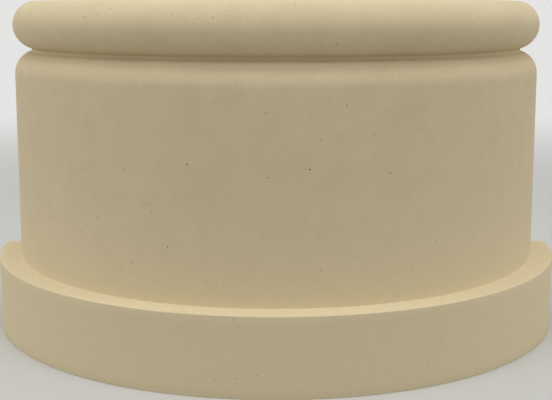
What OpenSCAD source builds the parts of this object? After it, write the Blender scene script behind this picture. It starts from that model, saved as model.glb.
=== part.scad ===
// Half-round column base in cast stone.
// A low half-round plinth carries a plain drum with a rounded shoulder, and a full round bead
// crowns it above a narrow groove. The flat back stands against a wall, and the shaft of a
// half-round column stands on the flat top bed. It is cast in one piece.
// The origin is on the column's axis, where the wall's face meets the ground:
// +X runs along the wall, -Y points out of the wall and +Z is up.

/* [Plinth] */
// Width of the plinth along the wall, twice its radius
plinth_w = 610; // [400:10:1000]
// Height of the plinth
plinth_h = 75; // [30:5:200]

/* [Drum] */
// How far the drum's face stands back from the plinth's face
ledge = 23; // [8:1:60]
// Height of the drum's straight face, from the plinth to the spring of the shoulder
face_h = 194.5; // [60:0.5:500]
// Radius of the rounded shoulder over the drum's face
shoulder_r = 24; // [10:1:60]

/* [Groove] */
// Clear height between the crown of the shoulder and the underside of the bead
groove_gap = 1.5; // [0.5:0.5:8]
// How far the groove is cut in from the drum's face
groove_depth = 18; // [5:1:40]

/* [Bead] */
// Height of the bead, the diameter of its round section
bead_d = 50; // [20:1:90]
// How far the bead's nose stands out past the drum's face
bead_proud = 1; // [0:0.5:5]

/* [Hidden] */
$fn = 180;

plinth_r = plinth_w / 2;
drum_r = plinth_r - ledge;
neck_r = drum_r - groove_depth;

bead_r = bead_d / 2;

shoulder_z = plinth_h + face_h;
bead_z = shoulder_z + shoulder_r + groove_gap + bead_r;
top_z = bead_z + bead_r;

// How far the cutting block runs past the stone that it cuts
spare = 10;
stone = [0.84, 0.77, 0.62];

// Each outline below is half of the upright section, with the column's axis at x = 0.

module plinth_outline() {
    square([plinth_r, plinth_h]);
}

// A slab from the axis outwards, whose edge is a full half round. It is laid in two halves,
// under and over the middle of the round, so that each ends exactly at the circle's crown.
module bullnose_outline(centre_r, centre_z, edge_r) {
    translate([centre_r, centre_z]) {
        circle(r = edge_r);
        for (low = [-edge_r, 0])
            translate([-centre_r, low]) square([centre_r, edge_r]);
    }
}

// The straight face, then the upper quarter of a round edge as the shoulder.
module drum_outline() {
    square([drum_r, shoulder_z]);
    bullnose_outline(drum_r - shoulder_r, shoulder_z, shoulder_r);
}

// The short upright wall at the bottom of the groove.
module neck_outline() {
    square([neck_r, bead_z]);
}

// The full round nose, with the flat top bed inside its crown.
module bead_outline() {
    bullnose_outline(drum_r + bead_proud - bead_r, bead_z, bead_r);
}

module section_outline() {
    plinth_outline();
    drum_outline();
    neck_outline();
    bead_outline();
}

// The space on the wall's side of the axis, which the flat back is cut from.
module wall_side() {
    translate([-plinth_r - spare, 0, -spare])
        cube([plinth_w + 2 * spare, plinth_r + spare, top_z + 2 * spare]);
}

// The section turned right round the axis, then cut off flat at the wall.
module column_base() {
    color(stone)
        difference() {
            rotate_extrude() section_outline();
            wall_side();
        }
}

column_base();
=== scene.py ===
# %% [markdown]
# # A half-round column base in cast stone
# This is the foot of a half-round column that stands against a wall. From the ground up it has a low
# plinth, a plain drum, a rounded shoulder, a narrow groove and a full round bead. Cast stone is
# poured as a damp mix of sand, crushed limestone and cement, so its faces are matt and sandy, and
# they carry small round holes where air was caught against the mould.
# The CAD model gives every size. This lesson measures it, turns the same outline in much finer
# steps, eases the corners, opens the pinholes and mixes the stone's colour.

import math

import bmesh
import bpy
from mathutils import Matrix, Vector


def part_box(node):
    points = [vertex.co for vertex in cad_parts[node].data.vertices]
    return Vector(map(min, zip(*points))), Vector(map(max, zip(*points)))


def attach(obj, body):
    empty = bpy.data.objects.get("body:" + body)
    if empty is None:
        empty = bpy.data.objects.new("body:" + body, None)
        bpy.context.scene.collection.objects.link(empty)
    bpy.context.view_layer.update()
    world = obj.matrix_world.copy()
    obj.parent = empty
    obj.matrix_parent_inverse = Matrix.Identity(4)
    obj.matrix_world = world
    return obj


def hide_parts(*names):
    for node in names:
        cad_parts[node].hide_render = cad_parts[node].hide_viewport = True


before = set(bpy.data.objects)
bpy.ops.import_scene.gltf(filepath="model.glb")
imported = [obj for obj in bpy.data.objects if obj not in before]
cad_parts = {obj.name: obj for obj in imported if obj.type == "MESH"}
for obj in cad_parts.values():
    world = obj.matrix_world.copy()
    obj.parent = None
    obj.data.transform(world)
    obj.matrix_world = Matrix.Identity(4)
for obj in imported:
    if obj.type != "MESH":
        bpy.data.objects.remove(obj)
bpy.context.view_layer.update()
MM = 0.001
low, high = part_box("column_base")
print("the base is", [round(side / MM) for side in high - low], "mm, width by depth by height")

# %% [markdown]
# ## The camera
# The base is looked at from straight in front and a little above, so both of its ends match and the
# plinth's top shows as a thin crescent. A long lens keeps the upright lines of the drum upright. The
# view is tipped down and then shifted a little, which sets the plinth low in the frame.

# %% Place the camera
CAMERA_BACK = 1.2093
CAMERA_HEIGHT = 0.3407
CAMERA_TIP = 8.93
LENS = 70.76
SENSOR_WIDTH = 36
SHIFT_UP = -0.0449
NEAREST_SEEN = 0.01

camera_data = bpy.data.cameras.new("camera")
camera_data.lens = LENS
camera_data.sensor_width = SENSOR_WIDTH
camera_data.shift_y = SHIFT_UP
camera_data.clip_start = NEAREST_SEEN
camera = bpy.data.objects.new("camera", camera_data)
camera.location = (0, -CAMERA_BACK, CAMERA_HEIGHT)
camera.rotation_euler = (math.radians(90 - CAMERA_TIP), 0, 0)
bpy.context.scene.collection.objects.link(camera)
bpy.context.scene.camera = camera
bpy.context.scene.view_settings.view_transform = "Standard"
print("camera", round(CAMERA_BACK + low.y, 2), "m in front of the plinth, lens", LENS, "mm")

# %% [markdown]
# ## The outline, measured
# A turned shape is known from one side of its outline: how far each point stands from the axis, and
# how high. Typing those sizes again would let the two models drift apart, so they are measured from
# the corners of the CAD mesh, taken from the ground up. The outline goes in as far as the neck, so the
# bead starts where it first comes out again. The two round mouldings are known from one step in and
# one step up: on a circle, a point that is a in from its edge and b along it gives the radius
# (a a + b b) / 2 a.

# %% Measure the outline
SAME = 0.05 * MM


def outline_points(node):
    """Distance from the axis and height of the corners of a CAD node that are on its round side."""
    found = set()
    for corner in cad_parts[node].data.vertices:
        if corner.co.y < -SAME:
            out = math.hypot(corner.co.x, corner.co.y)
            found.add((round(out, 6), round(corner.co.z, 6)))
    return sorted(found, key=lambda point: (point[1], -point[0]))


def circle_radius(a, b):
    """Radius of a circle, from a point that is a in from its edge and b along it."""
    return (a * a + b * b) / (2 * a)


points = outline_points("column_base")
plinth_r = points[0][0]
plinth_h = points[1][1]
drum_r = points[2][0]
shoulder_z = points[3][1]
first_of_bead = 4
while points[first_of_bead][0] < points[first_of_bead - 1][0] + SAME:
    first_of_bead += 1
neck_r, neck_top = points[first_of_bead - 1]
neck_low = points[first_of_bead - 2][1]
bed_r, top_z = points[-1]
shoulder_r = circle_radius(drum_r - neck_r, neck_low - shoulder_z)
bead_r = circle_radius(top_z - neck_top, neck_r - bed_r)
bead_z = top_z - bead_r
for name, size in [("plinth", plinth_r), ("drum", drum_r), ("neck", neck_r), ("bed", bed_r)]:
    print(f"{name} stands {size / MM:.1f} mm from the axis")
print(f"shoulder radius {shoulder_r / MM:.1f} mm, bead radius {bead_r / MM:.1f} mm")

# %% [markdown]
# ## The outline, drawn finely
# No corner of a casting is knife sharp. The plinth's arrises, which are its outer edges, are eased by
# half a millimetre. A little stone fills each inside corner, most of all in the narrow groove, where
# the lip of the mould is rounded so that it comes away clean. A Bevel modifier could ease the turned
# solid, but the arcs are simpler to draw once, in the outline. It is one line of points, from the
# middle of the underside, up the round side, to the middle of the top bed. Straight runs and arcs
# are two small helpers, so each moulding takes one line of code. Short steps keep the curves true,
# and they give the pinholes well-shaped faces to be cut from.

# %% Lay out the outline from the ground up
ARRIS = 0.5 * MM
INSIDE_CORNER = 1.0 * MM
NECK_CORNER = 1.8 * MM
RUN_STEP = 8 * MM
BED_STEP = 45 * MM
ARC_STEP = math.radians(5.5)
CORNER_STEP = math.radians(23)


def run_to(line, out, up, step=RUN_STEP):
    """Carries the line straight on to a point, in equal steps."""
    from_out, from_up = line[-1]
    pieces = max(1, round(math.hypot(out - from_out, up - from_up) / step))
    for i in range(1, pieces + 1):
        share = i / pieces
        line.append((from_out + (out - from_out) * share, from_up + (up - from_up) * share))


def arc_to(line, centre, radius, start, end, step=ARC_STEP):
    """Carries the line round an arc. Angles are in radians, from straight out, and up is a quarter."""
    pieces = max(2, math.ceil(abs(end - start) / step))
    for i in range(pieces + 1):
        turn = start + (end - start) * i / pieces
        point = (centre[0] + radius * math.cos(turn), centre[1] + radius * math.sin(turn))
        if math.dist(point, line[-1]) > SAME:
            line.append(point)


def angle_towards(centre, other):
    """Angle from one centre to another."""
    return math.atan2(other[1] - centre[1], other[0] - centre[0])


QUARTER = math.pi / 2
shoulder = (drum_r - shoulder_r, shoulder_z)
bead = (bed_r, bead_z)
corner_out = neck_r + NECK_CORNER
low_rise = math.sqrt((shoulder_r + NECK_CORNER) ** 2 - (corner_out - shoulder[0]) ** 2)
high_drop = math.sqrt((bead_r + NECK_CORNER) ** 2 - (corner_out - bead[0]) ** 2)
low_corner = (corner_out, shoulder_z + low_rise)
high_corner = (corner_out, bead_z - high_drop)
ledge_corner = (drum_r + INSIDE_CORNER, plinth_h + INSIDE_CORNER)

outline = [(0.0, 0.0)]
run_to(outline, plinth_r - ARRIS, 0, BED_STEP)
arc_to(outline, (plinth_r - ARRIS, ARRIS), ARRIS, -QUARTER, 0, CORNER_STEP)
run_to(outline, plinth_r, plinth_h - ARRIS)
arc_to(outline, (plinth_r - ARRIS, plinth_h - ARRIS), ARRIS, 0, QUARTER, CORNER_STEP)
run_to(outline, ledge_corner[0], plinth_h)
arc_to(outline, ledge_corner, INSIDE_CORNER, -QUARTER, -2 * QUARTER, CORNER_STEP)
run_to(outline, drum_r, shoulder_z)
arc_to(outline, shoulder, shoulder_r, 0, angle_towards(shoulder, low_corner))
turn = angle_towards(low_corner, shoulder)
arc_to(outline, low_corner, NECK_CORNER, turn, -2 * QUARTER, CORNER_STEP)
run_to(outline, neck_r, high_corner[1])
turn = angle_towards(high_corner, bead)
arc_to(outline, high_corner, NECK_CORNER, 2 * QUARTER, turn, CORNER_STEP)
arc_to(outline, bead, bead_r, angle_towards(bead, high_corner), QUARTER)
run_to(outline, 0, top_z, BED_STEP)
print(len(outline), "points along the outline, top at", round(outline[-1][1] / MM, 1), "mm")

# %% [markdown]
# ## A bench for nodes
# Geometry Nodes and materials are both networks of nodes. Adding a node, setting it and plugging it
# in takes the same few lines each time, so they are written once. A Wire stands for the output of a
# node. Sums on wires, such as 1 - wire, add Math nodes, which keeps the recipes short enough to read.

# %% Wires and benches
class Wire:
    """One output of a node, which can be used in sums."""

    def __init__(self, bench, socket):
        self.bench = bench
        self.socket = socket

    def output(self, name):
        """Another output of the same node."""
        return Wire(self.bench, pick(self.socket.node.outputs, name))

    def __add__(self, other):
        return self.bench.maths("ADD", self, other)

    def __sub__(self, other):
        return self.bench.maths("SUBTRACT", self, other)

    def __rsub__(self, other):
        return self.bench.maths("SUBTRACT", other, self)

    def __mul__(self, other):
        return self.bench.maths("MULTIPLY", self, other)

    def __truediv__(self, other):
        return self.bench.maths("DIVIDE", self, other)

    def __pow__(self, other):
        return self.bench.maths("POWER", self, other)

    def __gt__(self, other):
        return self.bench.maths("GREATER_THAN", self, other)

    def __lt__(self, other):
        return self.bench.maths("LESS_THAN", self, other)

    __radd__ = __add__
    __rmul__ = __mul__


def pick(sockets, key):
    """A node's socket, by its place or by its name. A node keeps unused twins, so those are passed."""
    if isinstance(key, int):
        return sockets[key]
    return next(socket for socket in sockets if socket.name == key and socket.enabled)


class Bench:
    """Adds nodes to one tree, in a row with a fixed space from each to the next."""

    SPACE = 200

    def __init__(self, tree):
        self.tree = tree

    def node(self, kind, settings=None, sockets=None, out=0):
        """A new node of a kind, with its settings, then the values or wires of its sockets."""
        made = self.tree.nodes.new(kind)
        made.location = (self.SPACE * len(self.tree.nodes), 0)
        for name, value in (settings or {}).items():
            setattr(made, name, value)
        for key, value in (sockets or {}).items():
            socket = pick(made.inputs, key)
            if isinstance(value, Wire):
                self.tree.links.new(value.socket, socket)
            else:
                socket.default_value = value
        return Wire(self, pick(made.outputs, out)) if made.outputs else made

    def maths(self, operation, *values):
        """A Math node."""
        return self.node("ShaderNodeMath", {"operation": operation}, dict(enumerate(values)))


print("a bench adds nodes to a tree, and a wire stands for what comes out of one")

# %% [markdown]
# ## Recipes
# A recipe is a Geometry Nodes tree that changes one mesh into another. Its sizes are named inputs,
# so it can be put on another piece with other numbers, or its numbers can be changed in Blender's
# modifier panel. A modifier knows each input by an identifier and not by its name, so the recipe
# keeps a list of them. Every recipe ends by making copies real and setting the stone on each face.

# %% Recipes with named sizes
SOCKET_KINDS = {
    int: "NodeSocketInt",
    float: "NodeSocketFloat",
    bpy.types.Object: "NodeSocketObject",
    bpy.types.Material: "NodeSocketMaterial",
}


class Recipe(Bench):
    """A tree that changes one mesh into another, with a named input for each size."""

    def __init__(self, name, sizes):
        super().__init__(bpy.data.node_groups.new(name, "GeometryNodeTree"))
        self.sizes = sizes
        self.identifiers = {}
        face = self.tree.interface
        face.new_socket("Geometry", in_out="OUTPUT", socket_type="NodeSocketGeometry")
        face.new_socket("Geometry", in_out="INPUT", socket_type="NodeSocketGeometry")
        for label, value in sizes.items():
            kind = SOCKET_KINDS[type(value)]
            socket = face.new_socket(label, in_out="INPUT", socket_type=kind)
            self.identifiers[label] = socket.identifier
        self.group_input = self.tree.nodes.new("NodeGroupInput")

    def given(self, label):
        """One of the recipe's inputs."""
        return Wire(self, self.group_input.outputs[label])

    def geometry(self, kind, settings=None, sockets=None, out=0):
        """A Geometry Nodes node, named without its long prefix."""
        return self.node("GeometryNode" + kind, settings, sockets, out)

    def finish(self, geometry):
        """Ends the tree: instances are made real, and the stone is set on every face."""
        solid = self.geometry("RealizeInstances", None, {"Geometry": geometry})
        material = self.given("Stone")
        stoned = self.geometry("SetMaterial", None, {"Geometry": solid, "Material": material})
        end = self.tree.nodes.new("NodeGroupOutput")
        self.tree.links.new(stoned.socket, end.inputs["Geometry"])

    def fit(self, piece):
        """Puts the recipe on a piece as a modifier, with its sizes."""
        modifier = piece.modifiers.new(self.tree.name, "NODES")
        modifier.node_group = self.tree
        for label, value in self.sizes.items():
            modifier[self.identifiers[label]] = value


print("a recipe's inputs can be", ", ".join(kind.__name__ for kind in SOCKET_KINDS))

# %% [markdown]
# ## Turning the base
# On the real object a mould with this outline shapes the wet mix. Here the outline is turned about
# the upright axis. Blender's Spin tool or Screw modifier could do it, but a recipe in Geometry Nodes
# keeps the number of steps as a named input. A flat grid has one row for each point of the outline
# and one column for each step round. Every grid point looks up its row's point on the outline and
# is swung round by its column's angle. The seam and the two poles close when doubled points merge.
# The full round is then cut by a block on the wall's side, half a step away from any column, so that
# the cut is one clean flat face.

# %% Write the turning recipe
STEPS_ROUND = 480
HALF_A_STEP = 0.5
SPARE = 50 * MM
stone = bpy.data.materials.new("cast_stone")

turning = Recipe(
    "turn_the_outline",
    {
        "Steps round": STEPS_ROUND,
        "Wall block width": 2 * (plinth_r + SPARE),
        "Wall block height": top_z + 2 * SPARE,
        "Stone": stone,
    },
)
steps = turning.given("Steps round")
line = turning.given("Geometry")
rows = turning.geometry("AttributeDomainSize", None, {"Geometry": line})
columns = turning.node("FunctionNodeIntegerMath", {"operation": "ADD"}, {0: steps, 1: 1})
grid = turning.geometry("MeshGrid", None, {"Vertices X": rows, "Vertices Y": columns})
place = turning.geometry("InputIndex")
row = turning.node(
    "FunctionNodeIntegerMath", {"operation": "DIVIDE_FLOOR"}, {0: place, 1: columns}
)
column = turning.node("FunctionNodeIntegerMath", {"operation": "MODULO"}, {0: place, 1: columns})
on_outline = turning.geometry(
    "SampleIndex",
    {"data_type": "FLOAT_VECTOR", "domain": "POINT"},
    {"Geometry": line, "Value": turning.geometry("InputPosition"), "Index": row},
)
angle = (column + HALF_A_STEP) * math.tau / steps
parts = turning.node("ShaderNodeSeparateXYZ", None, {0: on_outline})
out = parts.output("X")
swung = turning.node(
    "ShaderNodeCombineXYZ",
    None,
    {
        "X": out * turning.maths("COSINE", angle),
        "Y": out * turning.maths("SINE", angle),
        "Z": parts.output("Z"),
    },
)
turned = turning.geometry("SetPosition", None, {"Geometry": grid, "Position": swung})
closed = turning.geometry("MergeByDistance", None, {"Geometry": turned, "Distance": SAME / 10})
closed = turning.geometry("FlipFaces", None, {"Mesh": closed})
print("turning:", len(turning.tree.nodes), "nodes so far")

# %% Cut off the wall's side, and mark the edges of the cut
REAL_CORNER = math.radians(30)

width = turning.given("Wall block width")
height = turning.given("Wall block height")
block_size = turning.node("ShaderNodeCombineXYZ", None, {"X": width, "Y": width, "Z": height})
block = turning.geometry("MeshCube", None, {"Size": block_size})
middle_up = height * 0.5 - SPARE
behind = turning.node("ShaderNodeCombineXYZ", None, {"Y": width * 0.5, "Z": middle_up})
block = turning.geometry("Transform", None, {"Geometry": block, "Translation": behind})
cut = turning.geometry(
    "MeshBoolean",
    {"operation": "DIFFERENCE", "solver": "MANIFOLD"},
    {"Mesh 1": closed, "Mesh 2": block},
)
here = turning.node("ShaderNodeSeparateXYZ", None, {0: turning.geometry("InputPosition")})
on_wall = here.output("Y") > -SAME
corner = turning.geometry("InputMeshEdgeAngle")
on_edge = on_wall * (corner > REAL_CORNER)
marked = turning.geometry(
    "StoreNamedAttribute",
    {"data_type": "FLOAT", "domain": "EDGE"},
    {"Geometry": cut, "Name": "bevel_weight_edge", "Value": on_edge},
)
turning.finish(marked)
print("turning:", len(turning.tree.nodes), "nodes")

# %% [markdown]
# ## Where the pinholes go
# Cast stone is full of bubbles that were pressed against the mould, and each leaves a small round
# hole when the mould comes off. Over a thousand are tiny, and about thirty are wide enough to catch
# the eye. The wide ones are listed as degrees round from straight ahead, millimetres up and
# millimetres across. This list isn't one to copy: all but the last six rows come from another script,
# which gave each place, here rounded, and how dark the hole was, which the width roughly follows. The
# last six, on the flanks, are made up. A seeded rule, like the one for the small pinholes, would be
# better code. The wide pinholes are kept on a helper object of loose points, each of which carries
# its width.

# %% Place the wide pinholes
WIDE_PINHOLES = [
    (21, 194, 2.0), (-16, 203, 1.9), (-20, 128, 1.8), (8, 225, 1.5), (-29, 194, 1.5),
    (35, 204, 1.5), (31, 128, 1.4), (36, 103, 1.3), (-28, 182, 1.3), (-18, 182, 1.2),
    (-6, 266, 1.2), (-11, 257, 1.2), (-30, 104, 1.2), (8, 110, 1.2), (11, 215, 1.1),
    (22, 182, 1.1), (-13, 98, 1.1), (-3, 22, 1.4), (-10, 17, 1.1), (-6, 27, 1.0),
    (-11, 330, 1.4), (41, 330, 1.3), (26, 312, 1.0), (62, 150, 1.7), (-71, 90, 1.5),
    (75, 230, 1.3), (-55, 240, 1.4), (-80, 160, 1.2), (68, 40, 1.3),
]


def radius_at(height):
    """How far the round side stands from the axis at a height, from the outline."""
    for (out_a, up_a), (out_b, up_b) in zip(outline, outline[1:]):
        if up_a < height <= up_b:
            return out_a + (out_b - out_a) * (height - up_a) / (up_b - up_a)
    raise ValueError("that height is above the base")


marks = bpy.data.meshes.new("wide_pinholes")
spots = []
for degrees, up, _ in WIDE_PINHOLES:
    turn = math.radians(degrees)
    out = radius_at(up * MM)
    spots.append((out * math.sin(turn), -out * math.cos(turn), up * MM))
marks.from_pydata(spots, [], [])
widths = marks.attributes.new("across", "FLOAT", "POINT")
widths.data.foreach_set("value", [across * MM for _, _, across in WIDE_PINHOLES])
wide_pinholes = bpy.data.objects.new("wide_pinholes", marks)
bpy.context.scene.collection.objects.link(wide_pinholes)
print(len(spots), "wide pinholes placed")

# %% [markdown]
# ## Opening the pinholes
# The small pinholes follow a rule, so a recipe scatters them: no two closer than a few millimetres,
# more of them in some patches than in others, and small ones far commoner than wide ones. The
# plinth, the back and the underside have fewer, and the narrow groove has none. Each gets a low round
# bubble, sunk so that its widest part lies just under the face, then bent out of true by noise. One
# Boolean takes all of the bubbles out of the stone. They could have been drawn with bump alone, but
# a real hole keeps its shadow and its dark rim from every side, and it is there in the mesh too.
# There are over a thousand, so a bubble has only a few faces. The recipe also notes how deep each
# face of a hole lies, for the stone's colour to use.

# %% Start the pinhole recipe
PINHOLES_PER_M2 = 4000.0
APART = 2.6 * MM
SMALLEST = 0.5 * MM
WIDEST = 1.45 * MM
SEED = 7
GROOVE_BELOW = 2 * MM
GROOVE_ABOVE = 3 * MM

pitting = Recipe(
    "open_the_pinholes",
    {
        "Per square metre": PINHOLES_PER_M2,
        "Apart": APART,
        "Smallest": SMALLEST,
        "Widest": WIDEST,
        "Groove from": neck_low - GROOVE_BELOW,
        "Groove to": neck_top + GROOVE_ABOVE,
        "Plinth top": plinth_h,
        "Seed": SEED,
        "Wide pinholes": wide_pinholes,
        "Stone": stone,
    },
)
print("the pinhole recipe has", len(pitting.sizes), "inputs")

# %% Say where there are more pinholes and where fewer
PATCHES_PER_M = 14.0
BARE_BELOW = 0.36
FULL_ABOVE = 0.62
SHARE_WHERE_BARE = 0.25
SQUARE_ON = 0.9
LEDGE_MARGIN = 2 * MM
LEFT_OUT = {"back": 0.3, "under": 0.9, "plinth": 0.6}

block = pitting.given("Geometry")
position = pitting.geometry("InputPosition")
normal = pitting.geometry("InputNormal")
place = pitting.node("ShaderNodeSeparateXYZ", None, {0: position})
facing = pitting.node("ShaderNodeSeparateXYZ", None, {0: normal})
up = place.output("Z")
in_groove = (up > pitting.given("Groove from")) * (up < pitting.given("Groove to"))
on_back = facing.output("Y") > SQUARE_ON
under = facing.output("Z") < -SQUARE_ON
on_plinth = up < pitting.given("Plinth top") - LEDGE_MARGIN
patches = pitting.node(
    "ShaderNodeTexNoise",
    {"normalize": True},
    {"Vector": position, "Scale": PATCHES_PER_M, "Detail": 1.0},
)
crowding = pitting.node(
    "ShaderNodeMapRange",
    None,
    {
        "Value": patches,
        "From Min": BARE_BELOW,
        "From Max": FULL_ABOVE,
        "To Min": SHARE_WHERE_BARE,
        "To Max": 1.0,
    },
)
fewer = (1 - in_groove) * (1 - on_back * LEFT_OUT["back"]) * (1 - under * LEFT_OUT["under"])
fewer = fewer * (1 - on_plinth * LEFT_OUT["plinth"])
print("pinholes left out:", LEFT_OUT)

# %% Scatter them
RARER_AS_WIDER = 5

seed = pitting.given("Seed")
scattered = pitting.geometry(
    "DistributePointsOnFaces",
    {"distribute_method": "POISSON"},
    {
        "Mesh": block,
        "Distance Min": pitting.given("Apart"),
        "Density Max": pitting.given("Per square metre"),
        "Density Factor": crowding * fewer,
        "Seed": seed,
    },
)
chance = pitting.node("FunctionNodeRandomValue", {"data_type": "FLOAT"}, {"Seed": seed}, "Value")
smallest = pitting.given("Smallest")
across = smallest + (pitting.given("Widest") - smallest) * chance ** RARER_AS_WIDER
small = pitting.geometry(
    "StoreNamedAttribute",
    {"data_type": "FLOAT", "domain": "POINT"},
    {"Geometry": scattered, "Name": "across", "Value": across},
)
small = pitting.geometry(
    "StoreNamedAttribute",
    {"data_type": "FLOAT_VECTOR", "domain": "POINT"},
    {"Geometry": small, "Name": "outward", "Value": scattered.output("Normal")},
)
print("pinholes:", len(pitting.tree.nodes), "nodes so far")

# %% Bring in the wide ones, and clear a little room round each
ROOM_ROUND_WIDE = 3 * MM

chosen = pitting.geometry(
    "ObjectInfo", None, {"Object": pitting.given("Wide pinholes")}, "Geometry"
)
room = pitting.geometry(
    "Proximity", {"target_element": "POINTS"}, {"Geometry": chosen}, "Distance"
)
small = pitting.geometry(
    "DeleteGeometry", {"domain": "POINT"}, {"Geometry": small, "Selection": room < ROOM_ROUND_WIDE}
)
nearest = pitting.geometry(
    "SampleNearestSurface",
    {"data_type": "FLOAT_VECTOR"},
    {"Mesh": block, "Value": normal, "Sample Position": position},
)
wide = pitting.geometry("MeshToPoints", {"mode": "VERTICES"}, {"Mesh": chosen})
wide = pitting.geometry(
    "StoreNamedAttribute",
    {"data_type": "FLOAT_VECTOR", "domain": "POINT"},
    {"Geometry": wide, "Name": "outward", "Value": nearest},
)
join = pitting.geometry("JoinGeometry", None, {"Geometry": small})
pitting.tree.links.new(wide.socket, join.socket.node.inputs["Geometry"])
print("pinholes:", len(pitting.tree.nodes), "nodes so far")

# %% Put a sunk, tumbled bubble on each point
SINK_LEAST = 0.08
SINK_MOST = 0.3
STRETCH_LEAST = (0.75, 0.75, 0.75)
STRETCH_MOST = (1.3, 1.2, 1.15)
BUBBLE = {"Segments": 7, "Rings": 5, "Radius": 0.5}

across = pitting.geometry("InputNamedAttribute", {"data_type": "FLOAT"}, {"Name": "across"})
outward = pitting.geometry(
    "InputNamedAttribute", {"data_type": "FLOAT_VECTOR"}, {"Name": "outward"}
)
sink = pitting.node(
    "FunctionNodeRandomValue",
    {"data_type": "FLOAT"},
    {"Min": SINK_LEAST, "Max": SINK_MOST, "Seed": seed + 1},
    "Value",
)
inward = pitting.node(
    "ShaderNodeVectorMath", {"operation": "SCALE"}, {0: outward, "Scale": across * sink * -1}
)
sunk = pitting.geometry("SetPosition", None, {"Geometry": join, "Offset": inward})
tumbled = pitting.node(
    "FunctionNodeRandomValue",
    {"data_type": "FLOAT_VECTOR"},
    {"Max": (math.tau, math.tau, math.tau), "Seed": seed + 2},
    "Value",
)
stretch = pitting.node(
    "FunctionNodeRandomValue",
    {"data_type": "FLOAT_VECTOR"},
    {"Min": STRETCH_LEAST, "Max": STRETCH_MOST, "Seed": seed + 3},
    "Value",
)
size = pitting.node(
    "ShaderNodeVectorMath", {"operation": "SCALE"}, {0: stretch, "Scale": across}
)
bubble = pitting.geometry("MeshUVSphere", None, BUBBLE)
bubbles = pitting.geometry(
    "InstanceOnPoints",
    None,
    {"Points": sunk, "Instance": bubble, "Rotation": tumbled, "Scale": size},
)
bubbles = pitting.geometry("RealizeInstances", None, {"Geometry": bubbles})
print("pinholes:", len(pitting.tree.nodes), "nodes so far")

# %% Bend the bubbles, and cut them out of the stone
BENT = 0.28
BENDS_PER_M = 1100.0

wobble = pitting.node(
    "ShaderNodeTexNoise", None, {"Vector": position, "Scale": BENDS_PER_M, "Detail": 1.0}, "Color"
)
wobble = pitting.node(
    "ShaderNodeVectorMath", {"operation": "SUBTRACT"}, {0: wobble, 1: (0.5, 0.5, 0.5)}
)
wobble = pitting.node(
    "ShaderNodeVectorMath", {"operation": "SCALE"}, {0: wobble, "Scale": across * BENT * 2}
)
bubbles = pitting.geometry("SetPosition", None, {"Geometry": bubbles, "Offset": wobble})
pitted = pitting.geometry(
    "MeshBoolean",
    {"operation": "DIFFERENCE", "solver": "MANIFOLD"},
    {"Mesh 1": block, "Mesh 2": bubbles},
)
depth = pitting.geometry(
    "Proximity", {"target_element": "FACES"}, {"Geometry": block}, "Distance"
)
noted = pitting.geometry(
    "StoreNamedAttribute",
    {"data_type": "FLOAT", "domain": "FACE"},
    {"Geometry": pitted, "Name": "hole_depth", "Value": depth},
)
pitting.finish(noted)
print("pinholes:", len(pitting.tree.nodes), "nodes")

# %% [markdown]
# ## Making the base
# The outline becomes a mesh of points in a row, and three modifiers work on it in turn: the turning
# recipe, a Bevel that eases only the edges of the cut, and the pinhole recipe. Blender works out the
# result, which is then kept as a plain mesh, because the finished part must be one closed shell
# that needs no recipe. Smooth shading with an angle limit keeps the rims of the holes crisp.

# %% Turn, ease and pit the base
BACK_EASE = 0.3 * MM
EASE_SEGMENTS = 3
CRISP_ANGLE = math.radians(40)


def baked(piece):
    """A piece with its modifiers worked out, as one plain mesh."""
    bpy.context.view_layer.update()
    worked_out = piece.evaluated_get(bpy.context.evaluated_depsgraph_get())
    mesh = bpy.data.meshes.new_from_object(worked_out)
    piece.modifiers.clear()
    piece.data = mesh
    return mesh


outline_mesh = bpy.data.meshes.new("outline")
links = [(i, i + 1) for i in range(len(outline) - 1)]
outline_mesh.from_pydata([(out, 0, up) for out, up in outline], links, [])
base = bpy.data.objects.new("cast_base", outline_mesh)
bpy.context.scene.collection.objects.link(base)
turning.fit(base)
ease = base.modifiers.new("ease_the_back", "BEVEL")
ease.limit_method = "WEIGHT"
ease.width = BACK_EASE
ease.segments = EASE_SEGMENTS
ease.use_clamp_overlap = False
pitting.fit(base)
base_mesh = baked(base)
bpy.data.objects.remove(wide_pinholes)
base_mesh.name = "cast_base"
base_mesh.shade_smooth()
base_mesh.set_sharp_from_angle(angle=CRISP_ANGLE)
print("the base has", len(base_mesh.vertices), "corners and", len(base_mesh.polygons), "faces")

# %% Check the finished shell
LITRES_PER_M3 = 1000

shell = bmesh.new()
shell.from_mesh(base_mesh)
open_edges = sum(not edge.is_manifold for edge in shell.edges)
triangles = sum(len(face.verts) - 2 for face in shell.faces)
litres = shell.calc_volume(signed=True) * LITRES_PER_M3
shell.free()
print(f"{triangles} triangles, {open_edges} open edges, {litres:.3f} litres of stone")
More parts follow.
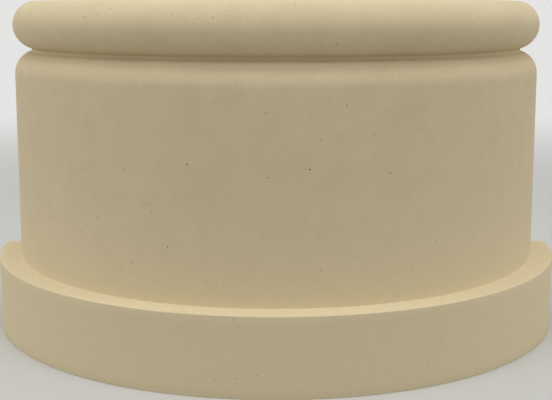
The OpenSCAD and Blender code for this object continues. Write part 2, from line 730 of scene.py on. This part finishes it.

# %% [markdown]
# ## Mixing the stone
# The stone is a warm sand colour, and it is matt all through. Close to, it is grains of sand and
# crushed stone, a little lighter or darker than the paste that holds them. From further off, broad
# faint clouds show where the mix was wetter or drier. The colour is painted a touch paler toward
# the foot, as painted light, because the lamps alone leave the foot too dull. The holes, and the
# tiny pits drawn as specks, are painted darker inside, for the dust that gathers there and as
# painted shade. The back, the underside and the top bed are out of sight once the base is built
# in. They are only trowelled, so they are uneven, with a cloudy skin of fine cement, which masons
# call laitance. A painted texture would need unwrapping, and its grain would blur close to. Noise
# in the object's own coordinates runs through the whole block as the grain does in a casting, with
# no seam and no stretching.

# %% Mix the stone
PASTE = (0.66, 0.545, 0.348, 1)
PALE_PASTE = (0.715, 0.597, 0.389, 1)
GRAIN_DARK = (0.43, 0.345, 0.218, 1)
GRAIN_PALE = (0.78, 0.675, 0.49, 1)
FOOT_PAINTED_LIGHT = (0.775, 0.658, 0.433, 1)
PAINTED_LIGHT_UP_TO = 0.22
PIT_DIRT_AND_SHADE = (0.15, 0.11, 0.065, 1)
CLOUDS_PER_M = 5.5
MOTTLE_PER_M = 45.0

stone.use_nodes = True
mix = Bench(stone.node_tree)
stone.node_tree.nodes.clear()


def blend(share, first, second):
    """A Mix node for colours."""
    settings = {"data_type": "RGBA"}
    return mix.node("ShaderNodeMix", settings, {0: share, 6: first, 7: second}, 2)


def noise(scale, detail=2.0, rough=0.5):
    """Soft noise, from 0 to 1, of so many lumps to the metre."""
    sockets = {"Vector": where, "Scale": scale, "Detail": detail, "Roughness": rough}
    return mix.node("ShaderNodeTexNoise", {"normalize": True}, sockets)


def between(value, low_end, high_end):
    """0 below the low end of a value, 1 above the high end, and a smooth rise in between."""
    settings = {"interpolation_type": "SMOOTHSTEP"}
    sockets = {"Value": value, "From Min": low_end, "From Max": high_end}
    return mix.node("ShaderNodeMapRange", settings, sockets)


where = mix.node("ShaderNodeTexCoord", out="Object")
clouds = between(noise(CLOUDS_PER_M, 3.0), 0.3, 0.7)
mottle = between(noise(MOTTLE_PER_M, 4.0, 0.6), 0.3, 0.7)
colour = blend(clouds * 0.5 + mottle * 0.5, PASTE, PALE_PASTE)
rise = mix.node("ShaderNodeSeparateXYZ", None, {0: where})
# painted light: the colour turns paler toward the foot, which the lamps alone leave too dull
painted_light_at_foot = 1 - between(rise.output("Z"), 0, PAINTED_LIGHT_UP_TO)
colour = blend(painted_light_at_foot, colour, FOOT_PAINTED_LIGHT)
print("paste mixed, in faint clouds, paler below", round(PAINTED_LIGHT_UP_TO / MM), "mm")

# %% Cloud the trowelled faces
HIDDEN_SKIN = 0.2 * MM
LAITANCE_PER_M = 38.0
LAITANCE = 0.16

on_the_cut = rise.output("Y") > -HIDDEN_SKIN
on_a_bed = (rise.output("Z") > top_z - HIDDEN_SKIN) + (rise.output("Z") < HIDDEN_SKIN)
hidden = on_the_cut + on_a_bed > 0.5
laitance = between(noise(LAITANCE_PER_M, 5.0, 0.65), 0.42, 0.62) * hidden
colour = blend(laitance * LAITANCE, colour, GRAIN_DARK)
print("stone:", len(mix.tree.nodes), "nodes so far")

# %% Add the grains
GRAINS_PER_M = 950.0
FINE_GRAINS_PER_M = 1900.0
DARK_GRAINS_FROM = 0.90
PALE_GRAINS_UP_TO = 0.10
DARK_GRAIN_SHARE = 0.5
PALE_GRAIN_SHARE = 0.4
SAND_SHARE = 0.22

grains = mix.node(
    "ShaderNodeTexVoronoi", {"feature": "F1"}, {"Vector": where, "Scale": GRAINS_PER_M}
)
kind = mix.node("ShaderNodeSeparateColor", None, {0: grains.output("Color")})
body = 1 - between(grains, 0.22, 0.5)
dark_grain = (kind > DARK_GRAINS_FROM) * body
pale_grain = (kind < PALE_GRAINS_UP_TO) * body
sand = noise(FINE_GRAINS_PER_M, 2.0, 0.7)
colour = blend(dark_grain * DARK_GRAIN_SHARE, colour, GRAIN_DARK)
colour = blend(pale_grain * PALE_GRAIN_SHARE, colour, GRAIN_PALE)
colour = blend(between(sand, 0.35, 0.75) * SAND_SHARE, colour, GRAIN_DARK)
print("grains of about", round(1 / (GRAINS_PER_M * MM), 1), "mm:", len(mix.tree.nodes), "nodes")

# %% Add specks, and dirt and painted shade in them and in the holes
SPECKS_PER_M = 330.0
SPECKS_FROM = 0.80
SPECK_SHARE = 0.35
CLEAN_ABOVE = 0.01 * MM
DARK_BELOW = 0.3 * MM
DIRT_AND_SHADE_SHARE = 0.8

specks = mix.node(
    "ShaderNodeTexVoronoi", {"feature": "F1"}, {"Vector": where, "Scale": SPECKS_PER_M}
)
speck_kind = mix.node("ShaderNodeSeparateColor", None, {0: specks.output("Color")})
# the specks are tiny pits, drawn by the bump below and painted dark, for dirt and as painted shade
speck = (speck_kind > SPECKS_FROM) * (1 - between(specks, 0.06, 0.16))
colour = blend(speck * SPECK_SHARE, colour, PIT_DIRT_AND_SHADE)
depth = mix.node("ShaderNodeAttribute", {"attribute_name": "hole_depth"}, out="Fac")
# dirt and painted shade: the deeper a face lies in a hole, the darker it is painted
dirt_and_shade = between(depth, CLEAN_ABOVE, DARK_BELOW)
colour = blend(dirt_and_shade * DIRT_AND_SHADE_SHARE, colour, PIT_DIRT_AND_SHADE)
print("specks and dirt:", len(mix.tree.nodes), "nodes")

# %% Finish the surface
BUMP_DEPTH = 0.12 * MM
BUMP_STRENGTH = 0.6
LUMPS_PER_M = 420.0
TROWEL_MARKS_PER_M = 60.0
TROWEL_MARKS = 26.0

height = sand * 0.6 + noise(LUMPS_PER_M, 3.0) * 0.5 - speck * 0.8 + pale_grain * 0.2
trowelled = noise(TROWEL_MARKS_PER_M, 4.0, 0.6) - 0.5
height = height + hidden * trowelled * TROWEL_MARKS
bump = mix.node(
    "ShaderNodeBump", None, {"Strength": BUMP_STRENGTH, "Distance": BUMP_DEPTH, "Height": height}
)
matt = mix.node(
    "ShaderNodeBsdfPrincipled",
    None,
    {
        "Base Color": colour,
        "Roughness": 0.86 + sand * 0.1,
        "Specular IOR Level": 0.25,
        "Normal": bump,
    },
)
mix.node("ShaderNodeOutputMaterial", None, {"Surface": matt})
print("stone:", len(mix.tree.nodes), "nodes")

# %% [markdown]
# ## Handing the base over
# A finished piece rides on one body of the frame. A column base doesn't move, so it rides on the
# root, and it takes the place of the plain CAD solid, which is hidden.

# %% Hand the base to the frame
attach(base, "root")
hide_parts("column_base")
print("cast_base stands for the CAD's column_base")

# %% [markdown]
# ## Floor and light
# The base is shown on a plain pale floor under six soft studio lamps. A long lamp overhead does most
# of the work: it makes the bead's crown and the ledge bright and lets the drum fall into an even half
# tone, which is how a plain round form reads best. A weaker one, high in front, opens the shade in
# the groove. Two on each side, one behind the wall's line and one before it, lift the flanks. The
# rest is an even glow from the whole room. The floor looks pale to the camera, but it gives less
# light back than it seems to, so that the underside of the bead keeps its shade, and far off it
# fades into the backdrop. The helpers that mixed the stone work on whichever bench is called mix.

# %% Lay the floor
FLOOR_REACH = 60.0
FLOOR_SEEN = (0.60, 0.59, 0.57, 1)
FLOOR_GIVES = (0.45, 0.44, 0.42, 1)
BACKDROP = (0.78, 0.78, 0.77, 1)
FLOOR_SIDES = 96
FADE_FROM = 0.7
FADE_TO = 2.4

floor_mesh = bpy.data.meshes.new("floor")
disc = bmesh.new()
bmesh.ops.create_circle(disc, cap_ends=True, segments=FLOOR_SIDES, radius=FLOOR_REACH)
disc.to_mesh(floor_mesh)
disc.free()
floor = bpy.data.objects.new("floor", floor_mesh)
bpy.context.scene.collection.objects.link(floor)
floor_paint = bpy.data.materials.new("floor_paint")
floor_paint.use_nodes = True
floor_paint.node_tree.nodes.clear()
floor_mesh.materials.append(floor_paint)
mix = Bench(floor_paint.node_tree)


def seen_by_eye():
    """1 for what the camera sees, straight or in a gloss or through glass, and 0 for other light."""
    ray = mix.node("ShaderNodeLightPath", out="Is Camera Ray")
    return ray + ray.output("Is Glossy Ray") + ray.output("Is Transmission Ray")


seen = seen_by_eye()
where = mix.node("ShaderNodeTexCoord", out="Object")
far = mix.node("ShaderNodeVectorMath", {"operation": "LENGTH"}, {0: where}, "Value")
paint = blend(seen, FLOOR_GIVES, FLOOR_SEEN)
matt = mix.node("ShaderNodeBsdfDiffuse", None, {"Color": paint})
plain = mix.node("ShaderNodeEmission", None, {"Color": BACKDROP, "Strength": 1.0})
fade = between(far, FADE_FROM, FADE_TO) * seen
floor_face = mix.node("ShaderNodeMixShader", None, {0: fade, 1: matt, 2: plain})
mix.node("ShaderNodeOutputMaterial", None, {"Surface": floor_face})
print("floor", 2 * FLOOR_REACH, "m across")

# %% Hang the lamps
LAMPS = {
    "overhead": {"at": (0, -0.5, 2.4), "size": (1.6, 0.4), "watts": 19.5, "tint": (0.94, 1, 0.98)},
    "high_front": {"at": (0, -1.5, 2.0), "size": (1.6, 0.8), "watts": 6, "tint": (1, 1, 1)},
    "left": {"at": (-2.3, 0.8, 1.0), "size": (1.2, 1.6), "watts": 9, "tint": (1, 1, 1)},
    "right": {"at": (2.3, 0.8, 1.0), "size": (1.2, 1.6), "watts": 8, "tint": (1, 1, 1)},
    "left_front": {"at": (-2.3, -0.6, 0.9), "size": (1.2, 1.6), "watts": 5, "tint": (1, 1, 1)},
    "right_front": {"at": (2.3, -0.6, 0.9), "size": (1.2, 1.6), "watts": 4.5, "tint": (1, 1, 1)},
}
AIM = Vector((0, -0.1, 0.2))

for name, lamp in LAMPS.items():
    light = bpy.data.lights.new(name, "AREA")
    light.shape = "RECTANGLE"
    light.size, light.size_y = lamp["size"]
    light.energy = lamp["watts"]
    light.color = lamp["tint"]
    hung = bpy.data.objects.new(name, light)
    hung.location = lamp["at"]
    hung.rotation_mode = "QUATERNION"
    hung.rotation_quaternion = (Vector(lamp["at"]) - AIM).to_track_quat("Z", "Y")
    bpy.context.scene.collection.objects.link(hung)
print(len(LAMPS), "lamps,", sum(lamp["watts"] for lamp in LAMPS.values()), "watts in all")

# %% Light the room
ROOM_LIGHT = 0.52

room = bpy.data.worlds.new("room")
room.use_nodes = True
room.node_tree.nodes.clear()
mix = Bench(room.node_tree)
glow = blend(seen_by_eye(), (ROOM_LIGHT, ROOM_LIGHT, ROOM_LIGHT, 1), BACKDROP)
air = mix.node("ShaderNodeBackground", None, {"Color": glow, "Strength": 1.0})
mix.node("ShaderNodeOutputWorld", None, {"Surface": air})
bpy.context.scene.world = room
print("room light", ROOM_LIGHT)
